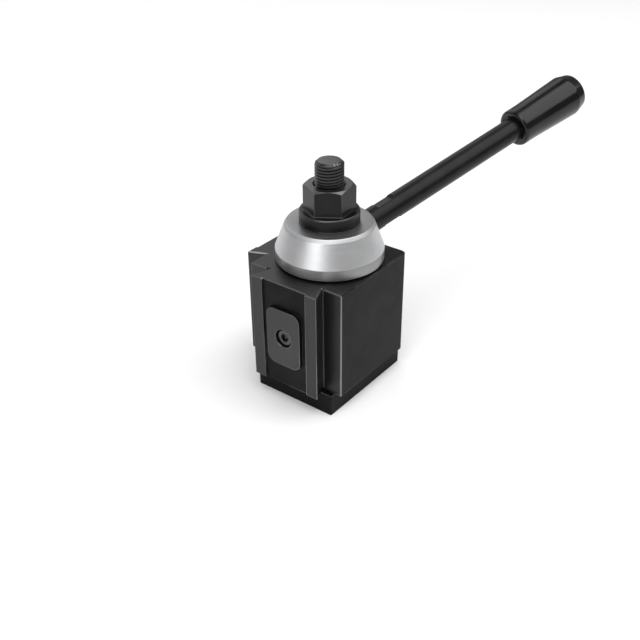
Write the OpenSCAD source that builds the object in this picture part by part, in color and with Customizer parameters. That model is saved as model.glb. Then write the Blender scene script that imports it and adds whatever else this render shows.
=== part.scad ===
// Quick change tool post, piston type, two dovetails, for a small metal lathe.
// Millimetres. Origin on the stud axis at the underside of the T-nut, +Z up,
// -Y towards the front dovetail and -X towards the left one.

/* [T-nut and stud] */
// T-nut length along X
t_nut_x = 46.5; // [30:0.5:60]
// T-nut length along Y
t_nut_y = 60; // [40:0.5:80]
// T-nut thickness
t_nut_h = 11.5; // [8:0.5:20]
// stud thread diameter
stud_d = 14; // [14, 16]
// stud shank diameter between its two threads
shank_d = 13; // [10:0.5:13.5]
// height of the stud's top above the T-nut's underside
stud_top = 119; // [110:0.5:130]

/* [Post body] */
// side of the square block
body_w = 54.5; // [50:0.5:70]
// height of the block and of both dovetails
body_h = 57; // [50:0.5:70]
// how far a dovetail stands out of the block
dt_proj = 9; // [7:0.5:12]
// width of a dovetail across its outer face
dt_face_w = 39; // [34:0.5:44]
// angle between a dovetail's flank and the shoulder
dt_angle = 67.5; // [55:0.5:75]
// width of each ground rail on a dovetail's face
rail_w = 6.6; // [4:0.1:8]
// depth of the field between the rails
field_depth = 0.8; // [0.4:0.1:2]
// relief groove at a dovetail's root: width
relief_w = 1.3; // [0.8:0.1:2]
// relief groove at a dovetail's root: depth
relief_d = 0.7; // [0.3:0.1:1.5]
// radius of the block's back right upright corner
corner_r = 2.5; // [0.5:0.1:4]

/* [Pistons and pads] */
// piston diameter
piston_d = 16; // [12:0.5:20]
// pad width
pad_w = 20; // [16:0.5:24]
// pad height
pad_h = 31; // [24:0.5:38]
// pad thickness
pad_t = 7; // [5:0.5:9]
// pad corner radius
pad_r = 4.5; // [2:0.5:6]
// how far the pads stand out of the rails at rest
pad_proud = 1; // [0:0.1:1.5]
// screw thread diameter in the pad
pad_screw_d = 5; // [4, 5, 6]

/* [Cam spindle] */
// bore for the cam and the upper journal
upper_bore_d = 36.1; // [36:0.1:40]
// bore for the lower journal
lower_bore_d = 28.1; // [24:0.1:32]
// radius of the cam's working face at rest
cam_h = 17.25; // [16:0.05:17.5]
// rise of the cam per degree of turn
cam_rise = 0.03; // [0.01:0.005:0.05]
// degrees the handle turns to draw the pads in
turn_in = 36; // [30:1:40]
// degrees the handle turns to push the pads out
turn_out = 18; // [10:1:25]
// clamp sleeve outer diameter
sleeve_d = 20; // [18:0.5:22]

/* [Hub] */
// underside of the hub above the block's top
hub_gap = 1; // [0.5:0.1:2]
// diameter of the hub's lower band
hub_d = 53.4; // [52:0.1:60]
// height of the lower band
hub_band = 5.5; // [3:0.1:8]
// diameter at the top of the cone
hub_top_d = 44.2; // [38:0.1:50]
// height of the cone
hub_cone = 11.8; // [8:0.1:16]
// height of the top chamfer
hub_chamfer = 1.6; // [0.5:0.1:3]
// width of the top chamfer
hub_chamfer_w = 0.7; // [0.3:0.1:2]

/* [Handle] */
// handle rod diameter
rod_d = 12.5; // [10:0.5:14]
// direction of the handle, degrees from +X
rod_az = 73.5; // [0:0.5:180]
// rise of the handle above the horizontal
rod_el = 15; // [0:0.5:30]
// height where the rod's axis crosses the stud's
rod_z = 73.9; // [70:0.1:80]
// width across the rod's spanner flats
flat_af = 9.8; // [8:0.1:11]
// turn of the spanner flats about the rod
flat_turn = -20; // [-90:1:90]
// start of the grip along the rod
grip_start = 126.2; // [100:0.1:140]
// length of the grip
grip_len = 45.6; // [40:0.1:60]
// large diameter of the grip
grip_d = 22.6; // [18:0.1:26]

/* [Nut] */
// hexagon across flats
nut_af = 22; // [19, 21, 22]
// nut height with its flange
nut_h = 18.9; // [14:0.1:24]
// flange diameter
flange_d = 29.4; // [26:0.1:34]
// flange edge height
flange_h = 5.8; // [4:0.1:8]
// direction of one hexagon flat, degrees from +X
nut_turn = 3.4; // [0:0.1:60]

/* [Hidden] */
$fn = 96;
EPS = 0.02;
thread_low = stud_top - 34;
stud_chamfer = 1.4;
stud_end_d = 11.2;
body_top = t_nut_h + body_h;
mid_z = t_nut_h + body_h / 2;
rail_y = body_w / 2 + dt_proj;
root_w = dt_face_w - 2 * dt_proj / tan(dt_angle);
web_h = 8;
seat_z = t_nut_h + web_h;
lower_top = seat_z + 8.5;
pocket_gap = 0.3;
pad_face = rail_y + pad_proud;
pad_back = pad_face - pad_t;
stroke_in = turn_in * cam_rise;
pocket_y = pad_back - stroke_in - 0.14;
piston_in = cam_h + 0.15;
screw_head_d = 8.5;
screw_head_h = 3.5;
screw_recess = 1.1;
screw_len = 11;
cbore_d = 9.5;
hub_z = body_top + hub_gap;
hub_top = hub_z + hub_band + hub_cone + hub_chamfer;
sleeve_top = hub_top + 0.1;
neck_d = 28;
cam_low = mid_z - 10.5;
cam_high = mid_z + 10.5;
cam_core_r = 15.2;
washer_d = 42;
washer_bore_d = 37;
ring_z = body_top - 4.5;
pin_r = 23.4;
pin_az = 45;
pin_d = 3.5;
pin_sunk = 6;
stop_slot_h = 4;
tail_d = 10;
tail_start = 17.2;
rod_start = 20.5;
flat_start = 30.9;
flat_len = 11.1;
insert_len = 18;

// a shape drawn for the front dovetail, turned to the left one
module to_left() rotate([0, 0, -90]) children();

// a shape drawn along +Z, laid along -Y at the pistons' height
module along_front(y) translate([0, -y, mid_z]) rotate([90, 0, 0]) children();

// a shape drawn along +Z, laid along the handle's axis
module along_handle(t)
    translate([0, 0, rod_z]) rotate([0, 90 - rod_el, rod_az]) translate([0, 0, t]) children();

// rounded rectangle on the XY plane
module round_rect(w, h, r) {
    square([w - 2 * r, h], center = true);
    square([w, h - 2 * r], center = true);
    for (x = [-1, 1], y = [-1, 1]) translate([x * (w / 2 - r), y * (h / 2 - r)]) circle(r);
}

// hexagonal prism by its width across flats
module hex(af, h) cylinder(h = h, d = af / cos(30), $fn = 6);

// Rectangular T-nut, tapped for the stud.
module t_nut() color([0.16, 0.16, 0.17]) difference() {
    translate([-t_nut_x / 2, -t_nut_y / 2, 0]) cube([t_nut_x, t_nut_y, t_nut_h]);
    translate([0, 0, -1]) cylinder(h = t_nut_h + 2, d = stud_d + 2 * EPS);
}

// Stud with a thread at both ends, flush with the T-nut's underside.
module stud() color([0.2, 0.2, 0.21]) {
    cylinder(h = t_nut_h, d = stud_d);
    translate([0, 0, t_nut_h]) cylinder(h = thread_low - t_nut_h, d = shank_d);
    translate([0, 0, thread_low]) cylinder(h = stud_top - stud_chamfer - thread_low, d = stud_d);
    translate([0, 0, stud_top - stud_chamfer]) cylinder(h = stud_chamfer, d1 = stud_d, d2 = stud_end_d);
}

// plan of one dovetail
module dovetail_plan() polygon([
    [-root_w / 2, 0], [-root_w / 2, -body_w / 2], [-dt_face_w / 2, -rail_y],
    [dt_face_w / 2, -rail_y], [root_w / 2, -body_w / 2], [root_w / 2, 0]]);

// plan of the block with both dovetails and the relief grooves at their roots
module body_plan() difference() {
    union() {
        difference() {
            square(body_w, center = true);
            translate([1, 1] * (body_w / 2 - corner_r)) difference() {
                square(corner_r + 1);
                circle(corner_r);
            }
        }
        dovetail_plan();
        rotate(-90) dovetail_plan();
    }
    for (a = [0, -90], s = [-1, 1]) rotate(a)
        translate([s * (root_w + relief_w) / 2, -body_w / 2])
            square([relief_w, 2 * relief_d], center = true);
}

// everything cut into one dovetail: field, pad pocket, piston bore
module dovetail_cuts() {
    translate([-dt_face_w / 2 + rail_w, -rail_y - 1, t_nut_h - 1])
        cube([dt_face_w - 2 * rail_w, 1 + field_depth, body_h + 2]);
    along_front(pocket_y) linear_extrude(20)
        round_rect(pad_w + 2 * pocket_gap, pad_h + 2 * pocket_gap, pad_r + pocket_gap);
    along_front(10) cylinder(h = 22, d = piston_d + 0.1);
}

// Hardened block with two dovetails, cross bores for the pistons and a stepped bore.
module post_body() color([0.13, 0.13, 0.14]) difference() {
    translate([0, 0, t_nut_h]) linear_extrude(body_h) body_plan();
    dovetail_cuts();
    to_left() dovetail_cuts();
    translate([0, 0, t_nut_h - 1]) cylinder(h = web_h + 2, d = stud_d + 0.6);
    translate([0, 0, seat_z]) cylinder(h = body_h, d = lower_bore_d);
    translate([0, 0, lower_top]) cylinder(h = body_h, d = upper_bore_d);
    rotate([0, 0, pin_az]) translate([pin_r, 0, body_top - pin_sunk - 0.2])
        cylinder(h = 10, d = pin_d + EPS);
}

// Tube that carries the nut's clamping force down to the block's web.
module clamp_sleeve() color([0.55, 0.55, 0.56]) translate([0, 0, seat_z]) difference() {
    cylinder(h = sleeve_top - seat_z, d = sleeve_d);
    translate([0, 0, -1]) cylinder(h = sleeve_top - seat_z + 2, d = stud_d + 0.6);
}

// Flat ring the hub turns on.
module thrust_washer() color([0.5, 0.42, 0.25]) translate([0, 0, body_top]) difference() {
    cylinder(h = hub_gap - 0.05, d = washer_d);
    translate([0, 0, -1]) cylinder(h = hub_gap + 2, d = washer_bore_d);
}

// Pin in the block's top face that limits the hub's turn.
module stop_pin() color([0.6, 0.6, 0.62]) rotate([0, 0, pin_az])
    translate([pin_r, 0, body_top - pin_sunk])
        cylinder(h = pin_sunk + hub_gap + stop_slot_h - 0.8, d = pin_d);

// Working face of one cam lobe: its reach grows evenly with the angle about direction a.
function lobe(a) = [for (d = [-turn_in - 3 : 3 : turn_out])
    let (h = cam_h + cam_rise * d, k = cam_rise * 180 / PI, b = a + d)
        [h * cos(b) - k * sin(b), h * sin(b) + k * cos(b)]];

// Hollow spindle with two journals and the cam that pushes both pistons.
module cam_spindle() color([0.62, 0.62, 0.64]) difference() {
    union() {
        translate([0, 0, seat_z + 0.3]) cylinder(h = lower_top - seat_z, d = lower_bore_d - 0.1);
        translate([0, 0, lower_top + 0.3]) cylinder(h = cam_low - lower_top, d = 30);
        translate([0, 0, cam_low]) linear_extrude(cam_high - cam_low) {
            circle(cam_core_r);
            polygon(concat([[0, 0]], lobe(180), lobe(270)));
        }
        translate([0, 0, cam_high]) cylinder(h = hub_z - cam_high, d = upper_bore_d - 0.1);
        translate([0, 0, cam_high]) cylinder(h = hub_top - cam_high, d = neck_d);
    }
    cylinder(h = stud_top, d = sleeve_d + 0.1);
    translate([0, 0, ring_z]) rotate_extrude() translate([16, -1.2]) square([4, 2.4]);
}

// Seal in the upper journal's groove.
module spindle_o_ring() color([0.08, 0.08, 0.08])
    translate([0, 0, ring_z]) rotate_extrude() translate([16.95, 0]) circle(0.9, $fn = 32);

// Conical hub with the tapped hole for the handle and the stop slot in its underside.
module handle_hub() color([0.8, 0.8, 0.82]) difference() {
    translate([0, 0, hub_z]) rotate_extrude() polygon([
        [neck_d / 2 + EPS, 0], [hub_d / 2 - 0.4, 0], [hub_d / 2, 0.4], [hub_d / 2, hub_band],
        [hub_top_d / 2, hub_band + hub_cone],
        [hub_top_d / 2 - hub_chamfer_w, hub_band + hub_cone + hub_chamfer],
        [neck_d / 2 + EPS, hub_band + hub_cone + hub_chamfer]]);
    along_handle(rod_start) cylinder(h = 20, d = rod_d + 2 * EPS);
    along_handle(10) cylinder(h = 20, d = tail_d + 2 * EPS);
    set_screw_places() cylinder(h = 20, d = 6 + 2 * EPS);
    rotate([0, 0, pin_az - turn_in - 1]) translate([0, 0, hub_z - 1]) {
        rotate_extrude(angle = turn_in + turn_out + 2)
            translate([pin_r - 2, 0]) square([4, 1 + stop_slot_h]);
        for (a = [0, turn_in + turn_out + 2]) rotate([0, 0, a]) translate([pin_r, 0, 0])
            cylinder(h = 1 + stop_slot_h, r = 2);
    }
}

// the two places for the hub's set screws
module set_screw_places() for (a = [60, 120]) rotate([0, 0, rod_az + a])
    translate([neck_d / 2 + EPS, 0, hub_z + 7.5]) rotate([0, 90, 0]) children();

// Socket set screws that hold the hub to the spindle.
module hub_set_screws() color([0.15, 0.15, 0.16]) set_screw_places() difference() {
    cylinder(h = 8, d = 6);
    translate([0, 0, 4.5]) hex(3, 4);
}

// Handle rod with spanner flats, screwed into the hub and into the grip.
module handle_rod() color([0.14, 0.14, 0.15]) difference() {
    union() {
        along_handle(tail_start) cylinder(h = 4, d = tail_d);
        along_handle(rod_start) cylinder(h = grip_start - rod_start, d = rod_d);
        along_handle(grip_start) cylinder(h = insert_len, d = 8);
    }
    for (s = [0, 180]) along_handle(flat_start) rotate([0, 0, s + flat_turn])
        translate([flat_af / 2, -rod_d, 0]) cube([rod_d, 2 * rod_d, flat_len]);
}

// Brass insert moulded into the grip.
module grip_insert() color([0.75, 0.6, 0.3]) along_handle(grip_start + 0.5) difference() {
    cylinder(h = insert_len - 1, d = 12);
    translate([0, 0, -1]) cylinder(h = insert_len + 1, d = 8 + 2 * EPS);
}

// Tapered moulded grip.
module handle_grip() color([0.05, 0.05, 0.05]) along_handle(grip_start) difference() {
    rotate_extrude() polygon([[0, 0], [8.7, 0], [9.7, 0.6], [10.05, 1.8], [10.05, 9],
        [grip_d / 2, grip_len - 6.3], [grip_d / 2 - 1.65, grip_len], [0, grip_len]]);
    translate([0, 0, -1]) cylinder(h = insert_len + 1.5, d = 8 + 4 * EPS);
    translate([0, 0, 0.5 - EPS]) cylinder(h = insert_len - 1 + 2 * EPS, d = 12 + 2 * EPS);
}

// one piston, tapped in its outer end
module piston() color([0.6, 0.6, 0.62]) difference() {
    along_front(piston_in) cylinder(h = pad_back - piston_in, d = piston_d);
    along_front(pad_back - screw_len + 0.5) cylinder(h = screw_len, d = pad_screw_d + 2 * EPS);
}

// one pad with its counterbored screw hole
module pad() color([0.42, 0.42, 0.43]) difference() {
    along_front(pad_back) linear_extrude(pad_t) round_rect(pad_w, pad_h, pad_r);
    along_front(pad_back - 1) cylinder(h = pad_t, d = pad_screw_d + 0.5);
    along_front(pad_face - screw_recess - screw_head_h) cylinder(h = 10, d = cbore_d);
}

// one socket head screw holding a pad to its piston
module pad_screw() color([0.2, 0.2, 0.21]) difference() {
    union() {
        along_front(pad_face - screw_recess - screw_head_h) cylinder(h = screw_head_h, d = screw_head_d);
        along_front(pad_back - screw_len + 1)
            cylinder(h = screw_len - 1 + pad_t - screw_recess - screw_head_h, d = pad_screw_d);
    }
    along_front(pad_face - screw_recess - 2.2) hex(4, 3);
}

// Piston, pad and screw in the front dovetail.
module front_piston() piston();
module front_pad() pad();
module front_pad_screw() pad_screw();

// Piston, pad and screw in the left dovetail.
module left_piston() to_left() piston();
module left_pad() to_left() pad();
module left_pad_screw() to_left() pad_screw();

// Flanged hexagon nut that clamps the post.
module flange_nut() color([0.18, 0.18, 0.19]) translate([0, 0, sleeve_top + EPS])
    rotate([0, 0, nut_turn]) difference() {
        union() {
            cylinder(h = flange_h, d = flange_d);
            translate([0, 0, flange_h]) cylinder(h = 0.9, d1 = flange_d, d2 = 22);
            intersection() {
                rotate([0, 0, 30]) hex(nut_af, nut_h);
                union() {
                    cylinder(h = nut_h - 2, d = 26);
                    translate([0, 0, nut_h - 2]) cylinder(h = 2, d1 = 26, d2 = 21);
                }
            }
        }
        translate([0, 0, -1]) cylinder(h = nut_h + 2, d = stud_d + 4 * EPS);
    }

t_nut();
stud();
post_body();
clamp_sleeve();
thrust_washer();
stop_pin();
cam_spindle();
spindle_o_ring();
handle_hub();
hub_set_screws();
handle_rod();
grip_insert();
handle_grip();
front_piston();
front_pad();
front_pad_screw();
left_piston();
left_pad();
left_pad_screw();
flange_nut();
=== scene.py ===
import math

import bmesh
import bpy
from mathutils import Matrix, Vector


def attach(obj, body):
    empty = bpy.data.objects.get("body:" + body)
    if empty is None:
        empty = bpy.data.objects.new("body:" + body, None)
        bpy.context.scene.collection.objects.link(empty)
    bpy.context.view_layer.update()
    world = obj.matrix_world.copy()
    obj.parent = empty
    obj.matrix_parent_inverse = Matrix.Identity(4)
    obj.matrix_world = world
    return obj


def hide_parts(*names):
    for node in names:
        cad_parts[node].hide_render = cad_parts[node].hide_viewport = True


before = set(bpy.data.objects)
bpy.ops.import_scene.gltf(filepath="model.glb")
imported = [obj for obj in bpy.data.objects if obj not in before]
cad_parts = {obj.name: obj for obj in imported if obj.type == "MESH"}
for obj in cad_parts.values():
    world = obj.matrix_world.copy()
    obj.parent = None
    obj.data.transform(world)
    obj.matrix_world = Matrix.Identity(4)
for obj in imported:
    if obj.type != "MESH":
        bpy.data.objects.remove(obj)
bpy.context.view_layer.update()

# ---------------------------------------------------------------------------
# Studio: a plain pale floor, soft light from above and from both sides, and a
# camera that looks down on the front right corner of the post.
# ---------------------------------------------------------------------------
mm = 0.001
scene = bpy.context.scene
scene.view_settings.view_transform = "Standard"

camera_data = bpy.data.cameras.new("post_camera")
camera_data.sensor_width = 36
camera_data.lens = 50.34
camera_data.clip_start = 10 * mm
camera = bpy.data.objects.new("post_camera", camera_data)
scene.collection.objects.link(camera)
camera.matrix_world = (
    Matrix.Translation((233.9 * mm, -308.8 * mm, 275.4 * mm))
    @ Matrix.Rotation(math.radians(37.894), 4, "Z")
    @ Matrix.Rotation(math.radians(90 - 32.136), 4, "X")
    @ Matrix.Rotation(math.radians(-0.616), 4, "Z")
)
scene.camera = camera


def softbox(name, azimuth, elevation, distance, size, power, tone=(1, 1, 1)):
    data = bpy.data.lights.new(name, "AREA")
    data.shape = "RECTANGLE"
    data.size, data.size_y = size
    data.energy = power
    data.color = tone
    box = bpy.data.objects.new(name, data)
    scene.collection.objects.link(box)
    az, el = math.radians(azimuth), math.radians(elevation)
    out = Vector((math.cos(az) * math.cos(el), math.sin(az) * math.cos(el), math.sin(el)))
    box.location = out * distance + Vector((0, 0, 60 * mm))
    box.rotation_euler = out.to_track_quat("Z", "Y").to_euler()
    return box


softbox("key_softbox", 33, 57, 1.6, (1.4, 1.7), 17)
softbox("front_softbox", -66, 60, 3.0, (2.2, 2.2), 52)
softbox("left_softbox", -84, 14, 1.1, (0.6, 0.4), 2.4)
softbox("back_softbox", 162, 36, 1.6, (2.0, 1.3), 8)

world = bpy.data.worlds.new("studio_air")
scene.world = world
world.use_nodes = True
air = world.node_tree.nodes["Background"]
air.inputs["Color"].default_value = (1.0, 1.0, 1.0, 1)
air.inputs["Strength"].default_value = 0.22

bpy.ops.mesh.primitive_plane_add(size=12, location=(0, 0, -0.05 * mm))
floor = bpy.context.object
floor.name = "studio_floor"
paper = bpy.data.materials.new("studio_paper")
paper.use_nodes = True
sheet_shader = paper.node_tree.nodes["Principled BSDF"]
sheet_shader.inputs["Base Color"].default_value = (0.95, 0.95, 0.95, 1)
sheet_shader.inputs["Roughness"].default_value = 0.9
sheet_shader.inputs["Specular IOR Level"].default_value = 0.1
floor.data.materials.append(paper)


# ---------------------------------------------------------------------------
# T-nut: a sawn and milled block of steel, blacked, tapped for the stud. Its
# edges are only broken with a file, and it is not yet milled to a T.
# ---------------------------------------------------------------------------
T_NUT = (46.5, 60.0, 11.5)
STUD_D = 14.0


def start(name):
    """Nothing selected, in object mode, ready for a new primitive."""
    if bpy.context.object and bpy.context.object.mode != "OBJECT":
        bpy.ops.object.mode_set(mode="OBJECT")
    bpy.ops.object.select_all(action="DESELECT")
    return name


def only(piece):
    start(piece.name)
    piece.select_set(True)
    bpy.context.view_layer.objects.active = piece


def block(name, size, centre):
    """A rectangular block, its size in its mesh, left in edit mode with nothing selected."""
    start(name)
    bpy.ops.mesh.primitive_cube_add(size=1, location=[c * mm for c in centre], scale=[s * mm for s in size])
    piece = bpy.context.object
    piece.name = piece.data.name = name
    bpy.ops.object.transform_apply(location=True, rotation=True, scale=True)
    bpy.ops.object.mode_set(mode="EDIT")
    bpy.ops.mesh.select_all(action="DESELECT")
    return piece


def pick(piece, kind, test):
    """Selects the faces or edges whose middle and direction, in millimetres, pass the test."""
    bpy.ops.mesh.select_mode(type="FACE" if kind == "faces" else "EDGE")
    bpy.ops.mesh.select_all(action="DESELECT")
    mesh = bmesh.from_edit_mesh(piece.data)
    for part in getattr(mesh, kind):
        if kind == "faces":
            middle, way = part.calc_center_median() / mm, part.normal
        else:
            a, b = (v.co for v in part.verts)
            middle, way = (a + b) / 2 / mm, (b - a).normalized()
        if test(middle, way):
            part.select_set(True)
    mesh.select_flush_mode()
    bmesh.update_edit_mesh(piece.data)


def apply_modifiers(piece):
    only(piece)
    for modifier in list(piece.modifiers):
        bpy.ops.object.modifier_apply(modifier=modifier.name)


def cut(piece, *cutters, keep_common=False):
    """Machines the cutters' shapes out of the piece, or keeps only what they share."""
    for cutter in cutters:
        bpy.ops.object.mode_set(mode="OBJECT") if bpy.context.object.mode != "OBJECT" else None
        tool = piece.modifiers.new("machining", "BOOLEAN")
        tool.operation = "INTERSECT" if keep_common else "DIFFERENCE"
        tool.solver = "MANIFOLD"
        tool.object = cutter
        apply_modifiers(piece)
        bpy.data.objects.remove(cutter, do_unlink=True)
        piece.data.materials.clear()
        for polygon in piece.data.polygons:
            polygon.material_index = 0
    return piece


def break_edges(piece, width, segments=2, angle=30):
    """Small bevels on every sharp edge, then smooth shading with flat faces kept flat."""
    only(piece)
    bevel = piece.modifiers.new("broken_edges", "BEVEL")
    bevel.width = width * mm
    bevel.segments = segments
    bevel.limit_method = "ANGLE"
    bevel.angle_limit = math.radians(angle)
    bevel.use_clamp_overlap = True
    apply_modifiers(piece)
    smooth(piece, angle + 5)


def smooth(piece, angle=35):
    only(piece)
    bpy.ops.object.mode_set(mode="EDIT")
    bpy.ops.mesh.select_all(action="SELECT")
    bpy.ops.mesh.dissolve_degenerate(threshold=0.001 * mm)
    bpy.ops.object.mode_set(mode="OBJECT")
    bpy.ops.object.shade_smooth_by_angle(angle=math.radians(angle))
    piece.modifiers.new("flat_faces_flat", "WEIGHTED_NORMAL").keep_sharp = True
    apply_modifiers(piece)


def outline_of(name, points):
    """An open outline in the XZ plane drawn point by point, in millimetres, left in edit mode."""
    start(name)
    bpy.ops.mesh.primitive_plane_add(size=mm, location=(0, 0, 0))
    piece = bpy.context.object
    piece.name = piece.data.name = name
    bpy.ops.object.mode_set(mode="EDIT")
    bpy.ops.mesh.select_mode(type="VERT")
    bpy.ops.mesh.select_all(action="SELECT")
    bpy.ops.mesh.merge(type="CENTER")
    bpy.ops.transform.translate(value=(points[0][0] * mm, 0, points[0][1] * mm))
    for (r0, z0), (r1, z1) in zip(points, points[1:]):
        bpy.ops.mesh.extrude_region_move(TRANSFORM_OT_translate={"value": ((r1 - r0) * mm, 0, (z1 - z0) * mm)})
    return piece


def turned(name, points, steps=96):
    """A lathe-turned solid: the outline is spun once round the Z axis and closed."""
    piece = outline_of(name, points)
    bpy.ops.mesh.select_all(action="SELECT")
    bpy.ops.mesh.spin(steps=steps, angle=math.radians(360), center=(0, 0, 0), axis=(0, 0, 1))
    bpy.ops.mesh.select_all(action="SELECT")
    bpy.ops.mesh.remove_doubles(threshold=0.0005 * mm)
    bpy.ops.mesh.normals_make_consistent(inside=False)
    bpy.ops.object.mode_set(mode="OBJECT")
    return piece


def drill(radius, depth, place=Matrix.Identity(4), steps=64):
    """A drill with a 118 degree point, from place along its +Z, point first at z = 0."""
    tip = radius * math.tan(math.radians(31))
    tool = turned("drill", [(0, -tip), (radius, 0), (radius, depth), (0, depth)], steps)
    return put(tool, place)


def put(piece, place):
    """Moves the piece to its place and leaves the place in its mesh."""
    only(piece)
    piece.matrix_world = place
    bpy.ops.object.transform_apply(location=True, rotation=True, scale=True)
    return piece


def shift(x, y, z):
    return Matrix.Translation((x * mm, y * mm, z * mm))


def turn(degrees, axis):
    return Matrix.Rotation(math.radians(degrees), 4, axis)


t_nut = block("t_nut_block", T_NUT, (0, 0, T_NUT[2] / 2))
pick(t_nut, "edges", lambda m, w: abs(w.z) > 0.9)
bpy.ops.mesh.bevel(offset=0.7 * mm, segments=3, affect="EDGES")
bpy.ops.object.mode_set(mode="OBJECT")
cut(t_nut, turned("tap_drill", [(0, -1), (STUD_D / 2 + 0.9, -1), (STUD_D / 2 + 0.9, 0), (STUD_D / 2 + 0.02, 0.9),
                                (STUD_D / 2 + 0.02, T_NUT[2] + 1), (0, T_NUT[2] + 1)]))
break_edges(t_nut, 0.35)


def effect_group(name, inputs, outputs):
    """A shader node group with these named float or vector sockets."""
    group = bpy.data.node_groups.new(name, "ShaderNodeTree")
    for label, default in inputs:
        kind = "NodeSocketVector" if isinstance(default, tuple) else "NodeSocketFloat"
        socket = group.interface.new_socket(label, in_out="INPUT", socket_type=kind)
        socket.default_value = default
    for label in outputs:
        group.interface.new_socket(label, in_out="OUTPUT", socket_type="NodeSocketFloat")
    return group, group.nodes.new("NodeGroupInput"), group.nodes.new("NodeGroupOutput")


def node(tree, kind, links=(), **settings):
    """One node of a tree, with settings by name, constants by input and links from sockets."""
    made = tree.nodes.new(kind)
    for label, value in settings.items():
        setattr(made, label, value)
    for socket, source in links:
        if isinstance(source, bpy.types.NodeSocket):
            tree.links.new(source, made.inputs[socket])
        else:
            made.inputs[socket].default_value = source
    return made


# Worn edges and painted edge highlight: where a rounded edge turns away from its faces, the blacking has
# rubbed off in an uneven thin line, and the same light line is also a painted highlight for the glint a rounded edge
# catches.
edge_wear_and_highlight_group, edge_wear_and_highlight_in, edge_wear_and_highlight_out = effect_group(
    "rubbed_edges_and_painted_highlight", [("Radius", 0.0006), ("Breakup", 180.0), ("Cover", 0.5)], ["Mask"])
spot = node(edge_wear_and_highlight_group, "ShaderNodeTexCoord")
rounded = node(edge_wear_and_highlight_group, "ShaderNodeBevel", [("Radius", edge_wear_and_highlight_in.outputs["Radius"])], samples=4)
facing = node(edge_wear_and_highlight_group, "ShaderNodeNewGeometry")
agree = node(edge_wear_and_highlight_group, "ShaderNodeVectorMath",
             [(0, rounded.outputs["Normal"]), (1, facing.outputs["Normal"])], operation="DOT_PRODUCT")
edge = node(edge_wear_and_highlight_group, "ShaderNodeMapRange",
            [("Value", agree.outputs["Value"]), ("From Min", 0.995), ("From Max", 0.9)])
patchy = node(edge_wear_and_highlight_group, "ShaderNodeTexNoise",
              [("Vector", spot.outputs["Object"]), ("Scale", edge_wear_and_highlight_in.outputs["Breakup"]), ("Detail", 3.0)])
low = node(edge_wear_and_highlight_group, "ShaderNodeMath", [(0, 0.85), (1, edge_wear_and_highlight_in.outputs["Cover"])], operation="SUBTRACT")
high = node(edge_wear_and_highlight_group, "ShaderNodeMath", [(0, low.outputs[0]), (1, 0.25)], operation="ADD")
broken = node(edge_wear_and_highlight_group, "ShaderNodeMapRange",
              [("Value", patchy.outputs["Fac"]), ("From Min", low.outputs[0]), ("From Max", high.outputs[0])])
both = node(edge_wear_and_highlight_group, "ShaderNodeMath", [(0, edge.outputs[0]), (1, broken.outputs[0])], operation="MULTIPLY")
rub_and_highlight_noise = node(edge_wear_and_highlight_group, "ShaderNodeTexNoise", [("Vector", spot.outputs["Object"]), ("Scale", 22.0)])
rub_and_highlight_strength = node(edge_wear_and_highlight_group, "ShaderNodeMapRange", [("Value", rub_and_highlight_noise.outputs["Fac"]), ("From Min", 0.38),
                                                ("From Max", 0.62), ("To Min", 0.15), ("To Max", 1.0)])
uneven = node(edge_wear_and_highlight_group, "ShaderNodeMath", [(0, both.outputs[0]), (1, rub_and_highlight_strength.outputs[0])], operation="MULTIPLY")
edge_wear_and_highlight_group.links.new(uneven.outputs[0], edge_wear_and_highlight_out.inputs["Mask"])

# Tool marks: fine lines left by a cutter or a grinding wheel. Turn lines them up
# with the part and Stretch sets how far they run along each of its axes; Height
# goes to a Bump, Tone to the colour.
marks_group, marks_in, marks_out = effect_group(
    "tool_marks", [("Turn", (0.0, 0.0, 0.0)), ("Stretch", (40.0, 40.0, 1200.0))], ["Height", "Tone"])
spot = node(marks_group, "ShaderNodeTexCoord")
lined_up = node(marks_group, "ShaderNodeMapping",
                [("Vector", spot.outputs["Object"]), ("Rotation", marks_in.outputs["Turn"])], vector_type="TEXTURE")
stretched = node(marks_group, "ShaderNodeVectorMath",
                 [(0, lined_up.outputs["Vector"]), (1, marks_in.outputs["Stretch"])], operation="MULTIPLY")
fine = node(marks_group, "ShaderNodeTexNoise",
            [("Vector", stretched.outputs[0]), ("Scale", 1.0), ("Detail", 4.0), ("Roughness", 0.65)])
wide = node(marks_group, "ShaderNodeTexNoise",
            [("Vector", stretched.outputs[0]), ("Scale", 0.22), ("Detail", 2.0)])
marks_group.links.new(fine.outputs["Fac"], marks_out.inputs["Height"])
marks_group.links.new(wide.outputs["Fac"], marks_out.inputs["Tone"])

# Blacking clouds: hot oxide leaves faint brown and blue clouds and a fine
# bloom of oil on the steel.
cloud_group, cloud_in, cloud_out = effect_group("blacking_clouds", [("Scale", 60.0)], ["Cloud", "Speck"])
spot = node(cloud_group, "ShaderNodeTexCoord")
cloud = node(cloud_group, "ShaderNodeTexNoise",
             [("Vector", spot.outputs["Object"]), ("Scale", cloud_in.outputs["Scale"]), ("Detail", 5.0),
              ("Roughness", 0.6), ("Distortion", 0.6)])
speck = node(cloud_group, "ShaderNodeTexNoise",
             [("Vector", spot.outputs["Object"]), ("Scale", 2600.0), ("Detail", 2.0)])
cloud_group.links.new(cloud.outputs["Fac"], cloud_out.inputs["Cloud"])
cloud_group.links.new(speck.outputs["Fac"], cloud_out.inputs["Speck"])


def effect(tree, group, **values):
    made = tree.nodes.new("ShaderNodeGroup")
    made.node_tree = group
    for label, value in values.items():
        made.inputs[label].default_value = value
    return made


def finish_named(name):
    material = bpy.data.materials.new(name)
    material.use_nodes = True
    return material, material.node_tree, material.node_tree.nodes["Principled BSDF"]


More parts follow.
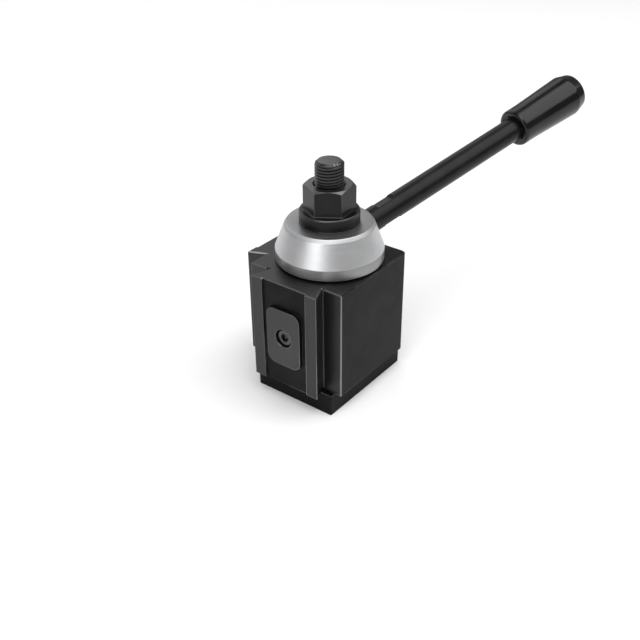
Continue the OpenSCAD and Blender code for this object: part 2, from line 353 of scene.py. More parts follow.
def ramp(tree, source, stops):
    made = node(tree, "ShaderNodeValToRGB", [("Fac", source)])
    while len(made.color_ramp.elements) < len(stops):
        made.color_ramp.elements.new(0.5)
    for element, (place, colour) in zip(made.color_ramp.elements, stops):
        element.position = place
        element.color = (*colour, 1)
    return made.outputs["Color"]


def blend_colours(tree, factor, a, b):
    made = node(tree, "ShaderNodeMix", data_type="RGBA")
    tree.links.new(factor, made.inputs["Factor"])
    for socket, source in ((made.inputs[6], a), (made.inputs[7], b)):
        if isinstance(source, bpy.types.NodeSocket):
            tree.links.new(source, socket)
        else:
            socket.default_value = (*source, 1)
    return made.outputs[2]


def blacked_steel(name, dark, light, rough, stretch, turned_to=(0, 0, 0), shine=0.3, marks=0.02, cover=0.45,
                  edge_bare_and_highlight_grey=0.35, radius=0.0005):
    """Hot-blacked steel: clouds in the colour, tool marks in the relief, bare metal on rubbed edges whose light edge
    line is also a painted highlight.
    """
    material, tree, steel = finish_named(name)
    clouds = effect(tree, cloud_group, Scale=55.0)
    marks_node = effect(tree, marks_group, Turn=[math.radians(a) for a in turned_to], Stretch=stretch)
    edge_wear_and_highlight = effect(tree, edge_wear_and_highlight_group, Radius=radius, Breakup=160.0, Cover=cover)
    mean = [(a + b) / 2 for a, b in zip(dark, light)]
    coat = ramp(tree, clouds.outputs["Cloud"], [(0.35, dark), (0.5, mean), (0.68, light)])
    # Wear and painted highlight: the edge mask lightens the base colour along every rounded edge.
    tree.links.new(blend_colours(tree, edge_wear_and_highlight.outputs["Mask"], coat, (edge_bare_and_highlight_grey, edge_bare_and_highlight_grey, edge_bare_and_highlight_grey * 1.01)), steel.inputs["Base Color"])
    bloom = node(tree, "ShaderNodeMapRange", [("Value", clouds.outputs["Speck"]), ("To Min", rough - 0.06),
                                             ("To Max", rough + 0.08)])
    tree.links.new(bloom.outputs[0], steel.inputs["Roughness"])
    bare_metal = node(tree, "ShaderNodeMath", [(0, edge_wear_and_highlight.outputs["Mask"]), (1, 0.9)], operation="MULTIPLY")
    tree.links.new(bare_metal.outputs[0], steel.inputs["Metallic"])
    relief = node(tree, "ShaderNodeBump", [("Height", marks_node.outputs["Height"]), ("Strength", 0.5),
                                           ("Distance", marks * mm)])
    tree.links.new(relief.outputs["Normal"], steel.inputs["Normal"])
    steel.inputs["Specular IOR Level"].default_value = shine
    return material


sawn_black = blacked_steel("blacked_sawn_block", (0.0025, 0.0025, 0.0028), (0.006, 0.0058, 0.0055), 0.48,
                           (30.0, 900.0, 60.0), shine=0.09, marks=0.03)
t_nut.data.materials.append(sawn_black)
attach(t_nut, "base")
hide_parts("t_nut")


# ---------------------------------------------------------------------------
# Stud: turned steel, screw-cut M14 x 1.5 at the top and blacked. The thread is
# a real helix cut back by the end's chamfer; the shank below is plain.
# ---------------------------------------------------------------------------
STUD_TOP = 119.0
THREAD_PITCH = 1.5
THREAD_LOW = 84.0


def screw_thread(name, major, pitch, low, high, steps=72):
    """A solid bar with a 60 degree helical thread, sawn off square a little past low and high."""
    minor = major - 0.541 * pitch
    piece = outline_of(name, [(minor, 0), (minor, 0.25 * pitch), (major, 0.5625 * pitch), (major, 0.6875 * pitch),
                              (minor, pitch)])
    bpy.ops.object.mode_set(mode="OBJECT")
    helix = piece.modifiers.new("helix", "SCREW")
    helix.angle = math.radians(360)
    helix.screw_offset = pitch * mm
    helix.iterations = int((high - low) / pitch) + 3
    helix.steps = helix.render_steps = steps
    helix.use_merge_vertices = True
    helix.merge_threshold = 0.002 * mm
    apply_modifiers(piece)
    put(piece, shift(0, 0, low - 1.5 * pitch))
    bpy.ops.object.mode_set(mode="EDIT")
    bpy.ops.mesh.select_all(action="SELECT")
    bpy.ops.mesh.remove_doubles(threshold=0.002 * mm)
    spare = 0.3 * pitch
    for place, is_low_end in ((low - spare, True), (high + spare, False)):
        bpy.ops.mesh.select_all(action="SELECT")
        bpy.ops.mesh.bisect(plane_co=(0, 0, place * mm), plane_no=(0, 0, 1), use_fill=True,
                            clear_inner=is_low_end, clear_outer=not is_low_end)
    bpy.ops.mesh.select_all(action="SELECT")
    bpy.ops.mesh.normals_make_consistent(inside=False)
    bpy.ops.object.mode_set(mode="OBJECT")
    return piece


stud = screw_thread("stud_bar", STUD_D / 2, THREAD_PITCH, THREAD_LOW, STUD_TOP)
stud_blank = turned("stud_blank", [
    (0, THREAD_LOW), (STUD_D / 2 - 0.9, THREAD_LOW), (STUD_D / 2 + 0.2, THREAD_LOW + 1.1),
    (STUD_D / 2 + 0.2, STUD_TOP - 1.6), (5.6, STUD_TOP - 0.12), (5.35, STUD_TOP), (0.8, STUD_TOP), (0, STUD_TOP - 0.35)])
cut(stud, stud_blank, keep_common=True)
smooth(stud, 32)

stud_shank = turned("stud_shank", [
    (0, 0), (STUD_D / 2 - 0.6, 0), (STUD_D / 2, 0.6), (STUD_D / 2, 11.0), (6.5, 11.5), (6.5, THREAD_LOW - 0.6),
    (6.1, THREAD_LOW - 0.01), (0, THREAD_LOW - 0.01)])
break_edges(stud_shank, 0.15)

blacked_thread = blacked_steel("blacked_turned_stud", (0.004, 0.004, 0.0045), (0.01, 0.01, 0.0105), 0.3,
                               (60.0, 60.0, 1500.0), shine=0.42, cover=0.7, edge_bare_and_highlight_grey=0.2, radius=0.00016)
for piece in (stud, stud_shank):
    piece.data.materials.append(blacked_thread)


def ground_steel(name, tone, rough, stretch, lines=0.012, cover=0.7, edge_wear_and_highlight_tone=0.62, radius=0.0004):
    """Ground steel: grey metal with fine wheel lines and a brighter line along each edge, partly wear and partly a
    painted highlight.
    """
    material, tree, steel = finish_named(name)
    clouds = effect(tree, cloud_group, Scale=38.0)
    wheel = effect(tree, marks_group, Stretch=stretch)
    edge_wear_and_highlight = effect(tree, edge_wear_and_highlight_group, Radius=radius, Breakup=120.0, Cover=cover)
    lit = ramp(tree, wheel.outputs["Tone"], [
        (0.3, [c * 0.82 for c in tone]), (0.5, tone), (0.7, [min(1, c * 1.16) for c in tone])])
    shade = node(tree, "ShaderNodeMapRange", [("Value", clouds.outputs["Cloud"]), ("From Min", 0.35),
                                             ("From Max", 0.7), ("To Min", 0.0), ("To Max", 0.3)])
    stained = blend_colours(tree, shade.outputs[0], lit, [c * 0.72 for c in tone])
    # Wear and painted highlight: the edge mask blends the colour to a lighter grey along each edge.
    tree.links.new(blend_colours(tree, edge_wear_and_highlight.outputs["Mask"], stained, (edge_wear_and_highlight_tone,) * 3), steel.inputs["Base Color"])
    dull = node(tree, "ShaderNodeMapRange", [("Value", wheel.outputs["Tone"]), ("From Min", 0.3), ("From Max", 0.7),
                                            ("To Min", rough - 0.05), ("To Max", rough + 0.06)])
    tree.links.new(dull.outputs[0], steel.inputs["Roughness"])
    relief = node(tree, "ShaderNodeBump", [("Height", wheel.outputs["Height"]), ("Strength", 0.6),
                                           ("Distance", lines * mm)])
    tree.links.new(relief.outputs["Normal"], steel.inputs["Normal"])
    steel.inputs["Metallic"].default_value = 1.0
    return material


def faced_end(piece, finish, test):
    """A second finish on the faces a lathe tool left flat."""
    piece.data.materials.append(finish)
    only(piece)
    bpy.ops.object.mode_set(mode="EDIT")
    pick(piece, "faces", test)
    piece.active_material_index = len(piece.data.materials) - 1
    bpy.ops.object.material_slot_assign()
    bpy.ops.object.mode_set(mode="OBJECT")


# Painted light: the flat upward faces of the stud and nut get a grey much lighter than their blacking, standing in for
# light falling on them from above.
faced_tops_painted_light = ground_steel("faced_and_blacked_painted_light", (0.16, 0.16, 0.165), 0.4, (60.0, 60.0, 60.0), lines=0.004,
                           cover=0.4, edge_wear_and_highlight_tone=0.22, radius=0.0002)
faced_end(stud, faced_tops_painted_light, lambda m, w: w.z > 0.5 and m.z > STUD_TOP - 0.5)
for piece in (stud, stud_shank):
    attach(piece, "base")
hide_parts("stud")
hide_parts("stud")


# ---------------------------------------------------------------------------
# Post body: one block of steel with a male dovetail on its front and left
# faces, milled, blacked all over, then ground on the rails, flanks and
# shoulders. A pocket in each dovetail lets the pad sink below the rails.
# ---------------------------------------------------------------------------
BODY_LOW, BODY_H, BODY_W = 11.5, 57.0, 54.5
BODY_TOP, HALF = BODY_LOW + BODY_H, BODY_W / 2
DOVETAIL_OUT, DOVETAIL_FACE, DOVETAIL_ROOT = 9.0, 39.0, 31.544
RAIL_Y = HALF + DOVETAIL_OUT
RAIL_W, FIELD_D = 6.6, 0.8
RELIEF_W, RELIEF_D = 1.3, 0.7
PISTON_Z = 40.0
POCKET_Y = 29.03

start("post_body_block")
bpy.ops.mesh.primitive_plane_add(size=BODY_W * mm, location=(0, 0, BODY_LOW * mm))
body = bpy.context.object
body.name = body.data.name = "post_body_block"
bpy.ops.object.transform_apply(location=True, rotation=True, scale=True)
bpy.ops.object.mode_set(mode="EDIT")


def saw(x=None, y=None):
    """A straight cut through the whole flat plan at x or at y."""
    bpy.ops.mesh.select_all(action="SELECT")
    place, way = ((x * mm, 0, 0), (1, 0, 0)) if y is None else ((0, y * mm, 0), (0, 1, 0))
    bpy.ops.mesh.bisect(plane_co=place, plane_no=way)


for side in (-1, 1):
    saw(x=side * DOVETAIL_ROOT / 2)
    saw(y=side * DOVETAIL_ROOT / 2)
pick(body, "edges", lambda m, w: abs(m.y + HALF) < 0.01 and abs(m.x) < 5)
bpy.ops.mesh.extrude_region_move(TRANSFORM_OT_translate={"value": (0, -DOVETAIL_OUT * mm, 0)})
bpy.ops.transform.resize(value=(DOVETAIL_FACE / DOVETAIL_ROOT, 1, 1))
pick(body, "edges", lambda m, w: abs(m.x + HALF) < 0.01 and abs(m.y) < 5)
bpy.ops.mesh.extrude_region_move(TRANSFORM_OT_translate={"value": (-DOVETAIL_OUT * mm, 0, 0)})
bpy.ops.transform.resize(value=(1, DOVETAIL_FACE / DOVETAIL_ROOT, 1))
field_half = DOVETAIL_FACE / 2 - RAIL_W
relief_far = DOVETAIL_ROOT / 2 + RELIEF_W
for side in (-1, 1):
    for line in (field_half, relief_far):
        saw(x=side * line)
        saw(y=side * line)
for line in (RAIL_Y - FIELD_D, HALF - RELIEF_D):
    saw(x=-line)
    saw(y=-line)


def field_or_relief(m, w):
    for along, out in ((m.x, -m.y), (m.y, -m.x)):
        if abs(along) < field_half and out > RAIL_Y - FIELD_D:
            return True
        if DOVETAIL_ROOT / 2 < abs(along) < relief_far and HALF - RELIEF_D < out < HALF:
            return True
    return False


pick(body, "faces", field_or_relief)
bpy.ops.mesh.delete(type="FACE")
bpy.ops.mesh.select_all(action="SELECT")
bpy.ops.mesh.dissolve_limited(angle_limit=math.radians(1))
bpy.ops.mesh.select_all(action="SELECT")
bpy.ops.mesh.extrude_region_move(TRANSFORM_OT_translate={"value": (0, 0, BODY_H * mm)})
bpy.ops.mesh.select_all(action="SELECT")
bpy.ops.mesh.normals_make_consistent(inside=False)
pick(body, "edges", lambda m, w: abs(w.z) > 0.9 and m.x > HALF - 0.1 and m.y > HALF - 0.1)
bpy.ops.mesh.bevel(offset=2.5 * mm, segments=8, affect="EDGES")


def rim_or_corner(m, w):
    if abs(w.z) > 0.9:
        return abs(m.x * m.y + HALF * HALF) < 0.5 or (m.x > HALF - 0.1 and m.y < -HALF + 0.1)
    return m.z > BODY_TOP - 0.1 or m.z < BODY_LOW + 0.1


pick(body, "edges", rim_or_corner)
bpy.ops.mesh.bevel(offset=0.45 * mm, segments=1, affect="EDGES")
bpy.ops.object.mode_set(mode="OBJECT")

bores = turned("body_boring_bar", [
    (0, BODY_LOW - 1), (8.2, BODY_LOW - 1), (8.2, BODY_LOW), (7.3, BODY_LOW + 0.9), (7.3, 19.5), (14.05, 19.5),
    (14.05, 28.0), (18.05, 28.0), (18.05, BODY_TOP - 0.6), (18.65, BODY_TOP), (18.65, BODY_TOP + 1),
    (0, BODY_TOP + 1)], 128)
cut(body, bores)
to_left = turn(-90, "Z")
for way in (Matrix.Identity(4), to_left):
    pocket = block("pocket_cutter", (20.6, 20, 31.6), (0, -POCKET_Y - 10, PISTON_Z))
    pick(pocket, "edges", lambda m, w: abs(w.y) > 0.9)
    bpy.ops.mesh.bevel(offset=4.8 * mm, segments=10, affect="EDGES")
    bpy.ops.object.mode_set(mode="OBJECT")
    cut(body, put(pocket, way))
    reamer = turned("piston_reamer", [(0, 0), (8.05, 0), (8.05, 22), (0, 22)])
    cut(body, put(reamer, way @ shift(0, -10, PISTON_Z) @ turn(90, "X")))
pin_hole = drill(1.76, 10, turn(45, "Z") @ shift(23.4, 0, BODY_TOP - 6.2))
cut(body, pin_hole)

body_black = blacked_steel("blacked_milled_body", (0.0012, 0.0012, 0.0014), (0.0085, 0.008, 0.0075), 0.45,
                           (70.0, 70.0, 500.0), shine=0.11, marks=0.018, cover=0.5, edge_bare_and_highlight_grey=0.3)


body_ground = ground_steel("ground_rails_and_flanks", (0.058, 0.058, 0.06), 0.4, (420.0, 420.0, 22.0))
body_top = ground_steel("blacked_ground_top", (0.07, 0.07, 0.073), 0.42, (900.0, 40.0, 40.0), lines=0.008,
                        edge_wear_and_highlight_tone=0.3)
# Painted highlight with wear: a lighter grey on the front and left top chamfers and the front right corner only,
# standing in for bright edge glints as well as rubbed blacking.
front_chamfers_worn_and_highlit = ground_steel("rubbed_chamfers_painted_highlight", (0.19, 0.19, 0.19), 0.4, (30.0, 30.0, 30.0), cover=0.6, edge_wear_and_highlight_tone=0.5)
# Painted reflection: the relief groove floor gets a far lighter grey than the other ground faces, standing in for light
# it picks up from the floor.
relief_floor_painted_reflection = ground_steel("relief_groove_painted_reflection", (0.42, 0.42, 0.42), 0.5, (420.0, 420.0, 22.0))
for finish in (body_black, body_ground, body_top, front_chamfers_worn_and_highlit, relief_floor_painted_reflection):
    body.data.materials.append(finish)
only(body)
bpy.ops.object.mode_set(mode="EDIT")


def is_ground(m, w):
    for across, out, n_across, n_out in ((m.x, -m.y, w.x, -w.y), (m.y, -m.x, w.y, -w.x)):
        if abs(w.z) > 0.1 or abs(across) > HALF + 0.01:
            continue
        if n_out > 0.99 and (out > RAIL_Y - 0.01 or (HALF - RELIEF_D - 0.01 < out < HALF + 0.01
                                                      and abs(across) > DOVETAIL_ROOT / 2)):
            return True
        if 0.5 < abs(n_across) < 0.99 and -0.9 < n_out < -0.1 and out > HALF - 0.1:
            return True
    return False


def is_relief(m, w):
    return any(HALF - RELIEF_D - 0.01 < out < HALF - RELIEF_D + 0.01 and abs(along) > DOVETAIL_ROOT / 2
               for along, out in ((m.x, -m.y), (m.y, -m.x)))


# Picks the chamfers that get the painted highlight and wear grey: front and left top edges and the front right corner.
def is_rubbed_and_highlit(m, w):
    top_front = w.z > 0.3 and w.z < 0.95 and m.z > BODY_TOP - 0.5 and (m.y < -HALF + 0.5 or m.x < -HALF + 0.5)
    return top_front or (abs(w.z) < 0.1 and m.x > HALF - 0.5 and m.y < -HALF + 0.5 and 0.3 < w.x < 0.95)


for slot, test in ((1, is_ground), (2, lambda m, w: w.z > 0.99 and m.z > BODY_TOP - 0.1), (3, is_rubbed_and_highlit),
                   (4, is_relief)):
    pick(body, "faces", test)
    body.active_material_index = slot
    bpy.ops.object.material_slot_assign()
bpy.ops.object.mode_set(mode="OBJECT")
break_edges(body, 0.2, segments=2)
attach(body, "post")
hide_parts("post_body")


# ---------------------------------------------------------------------------
# Hub: turned steel, satin chrome. A short band, a cone, and a polished edge
# round the flat top that the nut's flange stands over.
# ---------------------------------------------------------------------------
HUB_LOW, HUB_TOP = 69.5, 88.4
ROD_Z, ROD_AZ, ROD_EL = 73.9, 73.5, 15.0
along_rod = shift(0, 0, ROD_Z) @ turn(ROD_AZ, "Z") @ turn(90 - ROD_EL, "Y")

hub = turned("hub_cone", [
    (14.02, HUB_LOW + 0.5), (14.5, HUB_LOW), (26.2, HUB_LOW), (26.5, HUB_LOW + 0.1), (26.7, HUB_LOW + 0.4),
    (26.7, HUB_LOW + 5.3), (26.65, HUB_LOW + 5.5), (26.5, HUB_LOW + 5.85), (22.2, HUB_LOW + 17.1),
    (22.05, HUB_LOW + 17.4), (21.1, HUB_LOW + 18.68), (20.85, HUB_LOW + 18.87), (20.6, HUB_LOW + 18.9),
    (14.6, HUB_LOW + 18.9), (14.02, HUB_LOW + 18.4), (14.02, HUB_LOW + 0.5)], 160)
handle_hole = drill(6.3, 20, along_rod @ shift(0, 0, 20.5))
tapped_hole = drill(5.05, 20, along_rod @ shift(0, 0, 12))
cut(hub, handle_hole, tapped_hole)
SET_SCREWS = [turn(ROD_AZ + a, "Z") @ shift(14.02, 0, 77) @ turn(90, "Y") for a in (60, 120)]
for place in SET_SCREWS:
    cut(hub, drill(3.05, 20, place))
slot_cutter = block("stop_slot_cutter", (4, 4, 5), (23.4, 0, HUB_LOW + 1.5))
bpy.ops.mesh.select_all(action="DESELECT")
pick(slot_cutter, "faces", lambda m, w: w.y > 0.9)
bpy.ops.mesh.spin(steps=16, angle=math.radians(60), center=(0, 0, 0), axis=(0, 0, 1))
bpy.ops.mesh.select_all(action="SELECT")
bpy.ops.mesh.remove_doubles(threshold=0.001 * mm)
bpy.ops.mesh.normals_make_consistent(inside=False)
bpy.ops.object.mode_set(mode="OBJECT")
cut(hub, put(slot_cutter, turn(5, "Z")))
break_edges(hub, 0.12, angle=38)


def satin_chrome(name, tone=0.6, rough=0.43):
    """Satin chrome over turned steel: rings round the axis and a faint cloudy tone."""
    material, tree, chrome = finish_named(name)
    spot = node(tree, "ShaderNodeTexCoord")
    flat = node(tree, "ShaderNodeVectorMath", [(0, spot.outputs["Object"]), (1, (1.0, 1.0, 0.0))],
                operation="MULTIPLY")
    radius = node(tree, "ShaderNodeVectorMath", [(0, flat.outputs[0])], operation="LENGTH")
    parts = node(tree, "ShaderNodeSeparateXYZ", [("Vector", spot.outputs["Object"])])
    around = node(tree, "ShaderNodeCombineXYZ", [("X", radius.outputs["Value"]), ("Y", parts.outputs["Z"])])
    rings = node(tree, "ShaderNodeTexNoise", [("Vector", around.outputs[0]), ("Scale", 5200.0), ("Detail", 3.0)],
                 noise_dimensions="2D")
    bands = node(tree, "ShaderNodeTexNoise", [("Vector", around.outputs[0]), ("Scale", 700.0), ("Detail", 3.0)],
                 noise_dimensions="2D")
    bloom = node(tree, "ShaderNodeTexNoise", [("Vector", spot.outputs["Object"]), ("Scale", 95.0), ("Detail", 4.0)])
    tree.links.new(ramp(tree, bloom.outputs["Fac"], [
        (stop, [tone * (0.93 + 0.35 * (stop - 0.3)) * blue for blue in (1, 1.006, 1.02)]) for stop in (0.3, 0.5, 0.7)]),
        chrome.inputs["Base Color"])
    satin = node(tree, "ShaderNodeMapRange", [("Value", bands.outputs["Fac"]), ("From Min", 0.3), ("From Max", 0.7),
                                             ("To Min", rough - 0.03), ("To Max", rough + 0.03)])
    tree.links.new(satin.outputs[0], chrome.inputs["Roughness"])
    relief = node(tree, "ShaderNodeBump", [("Height", rings.outputs["Fac"]), ("Strength", 0.35),
                                           ("Distance", 0.006 * mm)])
    tree.links.new(relief.outputs["Normal"], chrome.inputs["Normal"])
    chrome.inputs["Metallic"].default_value = 1.0
    return material


hub.data.materials.append(satin_chrome("satin_chrome_hub"))
faced_end(hub, ground_steel("turned_hub_band", (0.29, 0.29, 0.295), 0.42, (40.0, 40.0, 1700.0), lines=0.008,
                            edge_wear_and_highlight_tone=0.4),
          lambda m, w: abs(w.z) < 0.3 and math.hypot(m.x, m.y) > 26 and m.z < HUB_LOW + 5.4)
# Painted shade: the faced top is a darker copy of the hub's satin chrome, standing in for the shade across it.
faced_end(hub, satin_chrome("faced_hub_top_painted_shade", 0.36, 0.42), lambda m, w: w.z > 0.95 and m.z > HUB_TOP - 0.1)
faced_end(hub, satin_chrome("hub_chamfer_ring", 0.53, 0.55),
          lambda m, w: 0.4 < w.z < 0.9 and m.z > HUB_TOP - 1.6 and math.hypot(m.x, m.y) > 20)
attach(hub, "cam_and_handle")
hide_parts("handle_hub")


# ---------------------------------------------------------------------------
# Hub set screws: blacked socket screws sunk in the back of the hub, which hold
# it to the spindle.
# ---------------------------------------------------------------------------
def hex_key_cut(width, depth, place, steps=6):
    """The socket a hexagon key goes in, with a drilled bottom."""
    tool = turned("key_socket", [(0, -width * 0.3), (width / math.sqrt(3), 0), (width / math.sqrt(3), depth), (0, depth)],
                  steps)
    return put(tool, place)


fastener_black = blacked_steel("blacked_fasteners", (0.006, 0.006, 0.0065), (0.014, 0.014, 0.0145), 0.26,
                               (500.0, 500.0, 500.0), shine=0.8, cover=0.5, edge_bare_and_highlight_grey=0.3, radius=0.0002)
for number, place in enumerate(SET_SCREWS, 1):
    screw = turned(f"hub_set_screw_{number}", [
        (0, 0.6), (1.4, 0.6), (1.9, 0.1), (2.3, 0.1), (2.95, 0.8), (2.95, 7.5), (2.5, 8), (0, 8)], 48)
    put(screw, place)
    cut(screw, hex_key_cut(3, 5, place @ shift(0, 0, 4.6)))
    smooth(screw)
    screw.data.materials.append(fastener_black)
    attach(screw, "cam_and_handle")
    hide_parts("hub_set_screws")


# ---------------------------------------------------------------------------
# Handle rod: turned steel, blacked, with two milled flats for a spanner next
# to the hub. Its tail is screwed into the hub and its far end into the grip.
# ---------------------------------------------------------------------------
ROD_R, FLAT_AF, FLAT_START, FLAT_LEN, FLAT_TURN = 6.25, 9.8, 30.9, 11.1, -20.0
GRIP_START = 126.2
rod = turned("handle_rod_bar", [
    (0, 17.2), (4.3, 17.2), (4.95, 17.9), (4.95, 20.5), (5.6, 20.5), (ROD_R, 21.1), (ROD_R, GRIP_START + 0.4),
    (6.1, GRIP_START + 0.45), (3.98, GRIP_START + 0.45), (3.98, GRIP_START + 17.3), (3.3, GRIP_START + 17.95),
    (0, GRIP_START + 17.95)], 96)
put(rod, along_rod)
for half_turn in (0, 180):
    mill = block("flat_cutter", (8, 20, FLAT_LEN), (FLAT_AF / 2 + 4, 0, FLAT_LEN / 2))
    pick(mill, "edges", lambda m, w: abs(w.y) > 0.9 and m.x < FLAT_AF / 2 + 0.1)
    bpy.ops.mesh.bevel(offset=0.45 * mm, segments=2, affect="EDGES")
    bpy.ops.object.mode_set(mode="OBJECT")
    cut(rod, put(mill, along_rod @ shift(0, 0, FLAT_START) @ turn(FLAT_TURN + half_turn, "Z")))
break_edges(rod, 0.12, angle=25)

rod_black = blacked_steel("blacked_handle_rod", (0.003, 0.0031, 0.0033), (0.009, 0.0087, 0.0084), 0.3,
                          (120.0, 120.0, 900.0), turned_to=(0, 90 - ROD_EL, ROD_AZ), shine=0.2, marks=0.008,
                          cover=0.4, edge_bare_and_highlight_grey=0.3, radius=0.0003)
rod.data.materials.append(rod_black)
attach(rod, "cam_and_handle")
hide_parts("handle_rod")


# ---------------------------------------------------------------------------
# Grip: black phenolic moulding, slightly tapered, with a rounded small end and
# a rounded big end. A brass insert inside it takes the rod's thread.
# ---------------------------------------------------------------------------
grip = turned("handle_grip_moulding", [
    (6.28, 17.5), (6.28, 0.45), (6.9, 0.42), (7.35, 0.1), (7.7, 0), (8.5, 0), (9.15, 0.15), (9.6, 0.5), (9.9, 1.0),
    (10.02, 1.7), (10.05, 2.6), (10.05, 8.5), (10.2, 12.5), (11.26, 38.4), (11.3, 39.1), (11.22, 39.6),
    (9.92, 44.7), (9.75, 45.2), (9.45, 45.5), (9.1, 45.6), (4.2, 45.6), (3.8, 45.4), (3.5, 45.05),
    (0, 44.95)], 112)
only(grip)
bpy.ops.object.mode_set(mode="EDIT")
pick(grip, "edges", lambda m, w: m.z > 17 and m.z < 18 and math.hypot(m.x, m.y) > 5)
bpy.ops.mesh.edge_face_add()
bpy.ops.mesh.select_all(action="SELECT")
bpy.ops.mesh.normals_make_consistent(inside=False)
bpy.ops.object.mode_set(mode="OBJECT")
put(grip, along_rod @ shift(0, 0, GRIP_START))
smooth(grip, 40)


def moulded_phenolic(name):
    """Glossy black moulding with a faint orange peel and fine handling scuffs."""
    material, tree, shell = finish_named(name)
    spot = node(tree, "ShaderNodeTexCoord")
    peel = node(tree, "ShaderNodeTexNoise", [("Vector", spot.outputs["Object"]), ("Scale", 420.0), ("Detail", 2.0)])
    haze = node(tree, "ShaderNodeTexNoise", [("Vector", spot.outputs["Object"]), ("Scale", 70.0), ("Detail", 5.0)])
    tree.links.new(ramp(tree, haze.outputs["Fac"], [(0.3, (0.002, 0.002, 0.0022)), (0.5, (0.0035, 0.0035, 0.0038)),
                                                    (0.7, (0.006, 0.006, 0.0063))]), shell.inputs["Base Color"])
    scuff = node(tree, "ShaderNodeMapRange", [("Value", haze.outputs["Fac"]), ("From Min", 0.3), ("From Max", 0.7),
                                             ("To Min", 0.16), ("To Max", 0.26)])
    tree.links.new(scuff.outputs[0], shell.inputs["Roughness"])
    relief = node(tree, "ShaderNodeBump", [("Height", peel.outputs["Fac"]), ("Strength", 0.25),
                                           ("Distance", 0.03 * mm)])
    tree.links.new(relief.outputs["Normal"], shell.inputs["Normal"])
    shell.inputs["Specular IOR Level"].default_value = 0.34
    return material


grip.data.materials.append(moulded_phenolic("moulded_black_phenolic"))
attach(grip, "cam_and_handle")
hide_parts("handle_grip")


def turned_brass(name, tone, rough):
    """Turned brass or bronze: warm metal, darker in its clouds, with lathe rings."""
    material, tree, brass = finish_named(name)
    clouds = effect(tree, cloud_group, Scale=90.0)
    lathe = effect(tree, marks_group, Stretch=(90.0, 90.0, 2400.0))
    tree.links.new(ramp(tree, clouds.outputs["Cloud"], [(0.3, [c * 0.7 for c in tone]), (0.7, tone)]),
                   brass.inputs["Base Color"])
    dull = node(tree, "ShaderNodeMapRange", [("Value", lathe.outputs["Tone"]), ("To Min", rough - 0.08),
                                            ("To Max", rough + 0.12)])
    tree.links.new(dull.outputs[0], brass.inputs["Roughness"])
    relief = node(tree, "ShaderNodeBump", [("Height", lathe.outputs["Height"]), ("Strength", 0.5),
                                           ("Distance", 0.01 * mm)])
    tree.links.new(relief.outputs["Normal"], brass.inputs["Normal"])
    brass.inputs["Metallic"].default_value = 1.0
    return material


def dress(node_name, material):
    """A CAD node that already has the right shape gets its finish."""
    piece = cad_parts[node_name]
    piece.data.materials.clear()
    piece.data.materials.append(material)


dress("grip_insert", turned_brass("brass_insert", (0.72, 0.5, 0.2), 0.35))


# ---------------------------------------------------------------------------
# Flange nut: turned and milled from bar, blacked. The mill runs out into the
# flange's cone below each flat, and a 30 degree chamfer cuts the top corners.
# ---------------------------------------------------------------------------
NUT_LOW, NUT_H, NUT_AF, NUT_TURN = 88.52, 18.9, 22.0, 3.4
nut = turned("nut_blank", [
    (7.1, 1.0), (8.1, 0), (14.35, 0), (14.7, 0.35), (14.7, 5.45), (14.55, 5.75), (12.98, 7.5), (12.98, NUT_H - 1.25),
    (10.9, NUT_H), (8.0, NUT_H), (7.1, NUT_H - 0.9), (7.1, 1.0)], 120)
for face in range(6):
    mill = block("hexagon_cutter", (10, 30, 20), (NUT_AF / 2 + 5, 0, 6.1 + 10))
    pick(mill, "edges", lambda m, w: abs(w.y) > 0.9 and m.x < NUT_AF / 2 + 0.1 and m.z < 7)
    bpy.ops.mesh.bevel(offset=1.3 * mm, segments=6, affect="EDGES")
    bpy.ops.object.mode_set(mode="OBJECT")
    cut(nut, put(mill, turn(face * 60, "Z")))
put(nut, shift(0, 0, NUT_LOW) @ turn(NUT_TURN, "Z"))
break_edges(nut, 0.14, angle=28)
nut_black = blacked_steel("blacked_flange_nut", (0.002, 0.002, 0.0022), (0.006, 0.0058, 0.0056), 0.3,
                          (90.0, 90.0, 900.0), shine=0.22, marks=0.012, cover=0.5, edge_bare_and_highlight_grey=0.3, radius=0.0003)
nut.data.materials.append(nut_black)
# The nut's upward faces take the lighter grey of painted light from above.
faced_end(nut, faced_tops_painted_light, lambda m, w: w.z > 0.6 and m.z > NUT_LOW + NUT_H - 1.5)
faced_end(nut, ground_steel("turned_flange_cone", (0.075, 0.075, 0.078), 0.36, (60.0, 60.0, 1500.0), edge_wear_and_highlight_tone=0.2),
          lambda m, w: 0.4 < w.z < 0.95 and m.z < NUT_LOW + 7.6 and math.hypot(m.x, m.y) > 12.9)
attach(nut, "nut")
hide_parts("flange_nut")


# ---------------------------------------------------------------------------
# Pads and their screws, front and left: rounded plates of hardened steel,
# ground on the face, each held to its piston by a socket head screw that sits
# down in a counterbore. Made once at the front and copied to the left.
# ---------------------------------------------------------------------------
PAD_FACE, PAD_T, PAD_W, PAD_H, PAD_R = 37.25, 7.0, 20.0, 31.0, 4.5
facing_front = shift(0, 0, PISTON_Z) @ turn(90, "X")

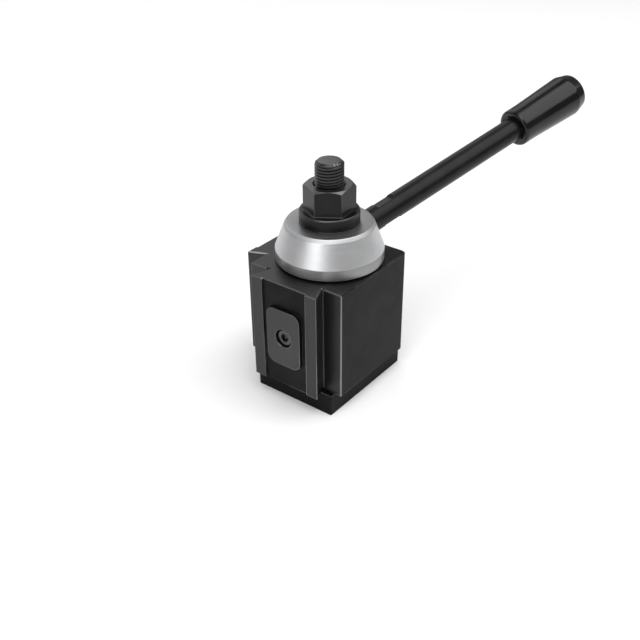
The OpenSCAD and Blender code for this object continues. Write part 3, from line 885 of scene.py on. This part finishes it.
pad = block("front_pad_plate", (PAD_W, PAD_T, PAD_H), (0, -PAD_FACE + PAD_T / 2, PISTON_Z))
pick(pad, "edges", lambda m, w: abs(w.y) > 0.9)
bpy.ops.mesh.bevel(offset=PAD_R * mm, segments=12, affect="EDGES")
bpy.ops.object.mode_set(mode="OBJECT")
counterbore = turned("counterbore", [(0, PAD_FACE - 7.5), (2.75, PAD_FACE - 7.5), (2.75, PAD_FACE - 4.6),
                                     (4.75, PAD_FACE - 4.6), (4.75, PAD_FACE - 0.3), (5.15, PAD_FACE + 0.1),
                                     (5.15, PAD_FACE + 2), (0, PAD_FACE + 2)], 64)
cut(pad, put(counterbore, facing_front))
break_edges(pad, 0.25, segments=3)
pad.data.materials.append(ground_steel("ground_pad_face", (0.066, 0.067, 0.068), 0.42, (60.0, 60.0, 60.0), lines=0.006,
                                       cover=0.75, edge_wear_and_highlight_tone=0.5))

head_face = PAD_FACE - 1.1
pad_screw = turned("front_pad_screw_head", [
    (0, 20.25), (2.2, 20.25), (2.48, 20.6), (2.48, head_face - 3.5), (4.05, head_face - 3.5), (4.25, head_face - 3.3),
    (4.25, head_face - 0.5), (4.1, head_face - 0.2), (3.75, head_face), (2.5, head_face), (2.31, head_face - 0.15),
    (2.31, head_face - 0.3), (0, head_face - 0.3)], 64)
put(pad_screw, facing_front)
cut(pad_screw, hex_key_cut(4, 4, facing_front @ shift(0, 0, head_face - 2.2)))
break_edges(pad_screw, 0.08, segments=2)
pad_screw.data.materials.append(fastener_black)

for piece, node_end, slot_name in ((pad, "pad", "ground_steel"), (pad_screw, "pad_screw", "black_oxide_fasteners")):
    twin = piece.copy()
    twin.data = piece.data.copy()
    twin.name = twin.data.name = piece.name.replace("front", "left")
    scene.collection.objects.link(twin)
    put(twin, to_left)
    for made, side in ((piece, "front"), (twin, "left")):
        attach(made, f"{side}_clamp")
        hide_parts(f"{side}_{node_end}")


# ---------------------------------------------------------------------------
# Inside the post: hardened pistons, the hollow cam spindle and the clamp
# sleeve, all turned and ground; the bronze washer and the stop pin under the
# hub; the rubber seal. Their CAD shapes are right and only get a finish.
# ---------------------------------------------------------------------------
turned_steel = ground_steel("turned_and_ground_steel", (0.36, 0.36, 0.37), 0.3, (60.0, 60.0, 1800.0), cover=0.6)
for name in ("cam_spindle", "clamp_sleeve", "stop_pin", "front_piston", "left_piston"):
    dress(name, turned_steel)
dress("thrust_washer", turned_brass("bronze_washer", (0.3, 0.19, 0.09), 0.45))

rubber, rubber_tree, seal = finish_named("nitrile_rubber")
seal_clouds = effect(rubber_tree, cloud_group, Scale=200.0)
rubber_tree.links.new(ramp(rubber_tree, seal_clouds.outputs["Cloud"], [(0.3, (0.01, 0.01, 0.01)),
                                                                      (0.7, (0.022, 0.022, 0.022))]),
                      seal.inputs["Base Color"])
matt = node(rubber_tree, "ShaderNodeMapRange", [("Value", seal_clouds.outputs["Speck"]), ("To Min", 0.6),
                                                ("To Max", 0.8)])
rubber_tree.links.new(matt.outputs[0], seal.inputs["Roughness"])
dress("spindle_o_ring", rubber)


start("done")
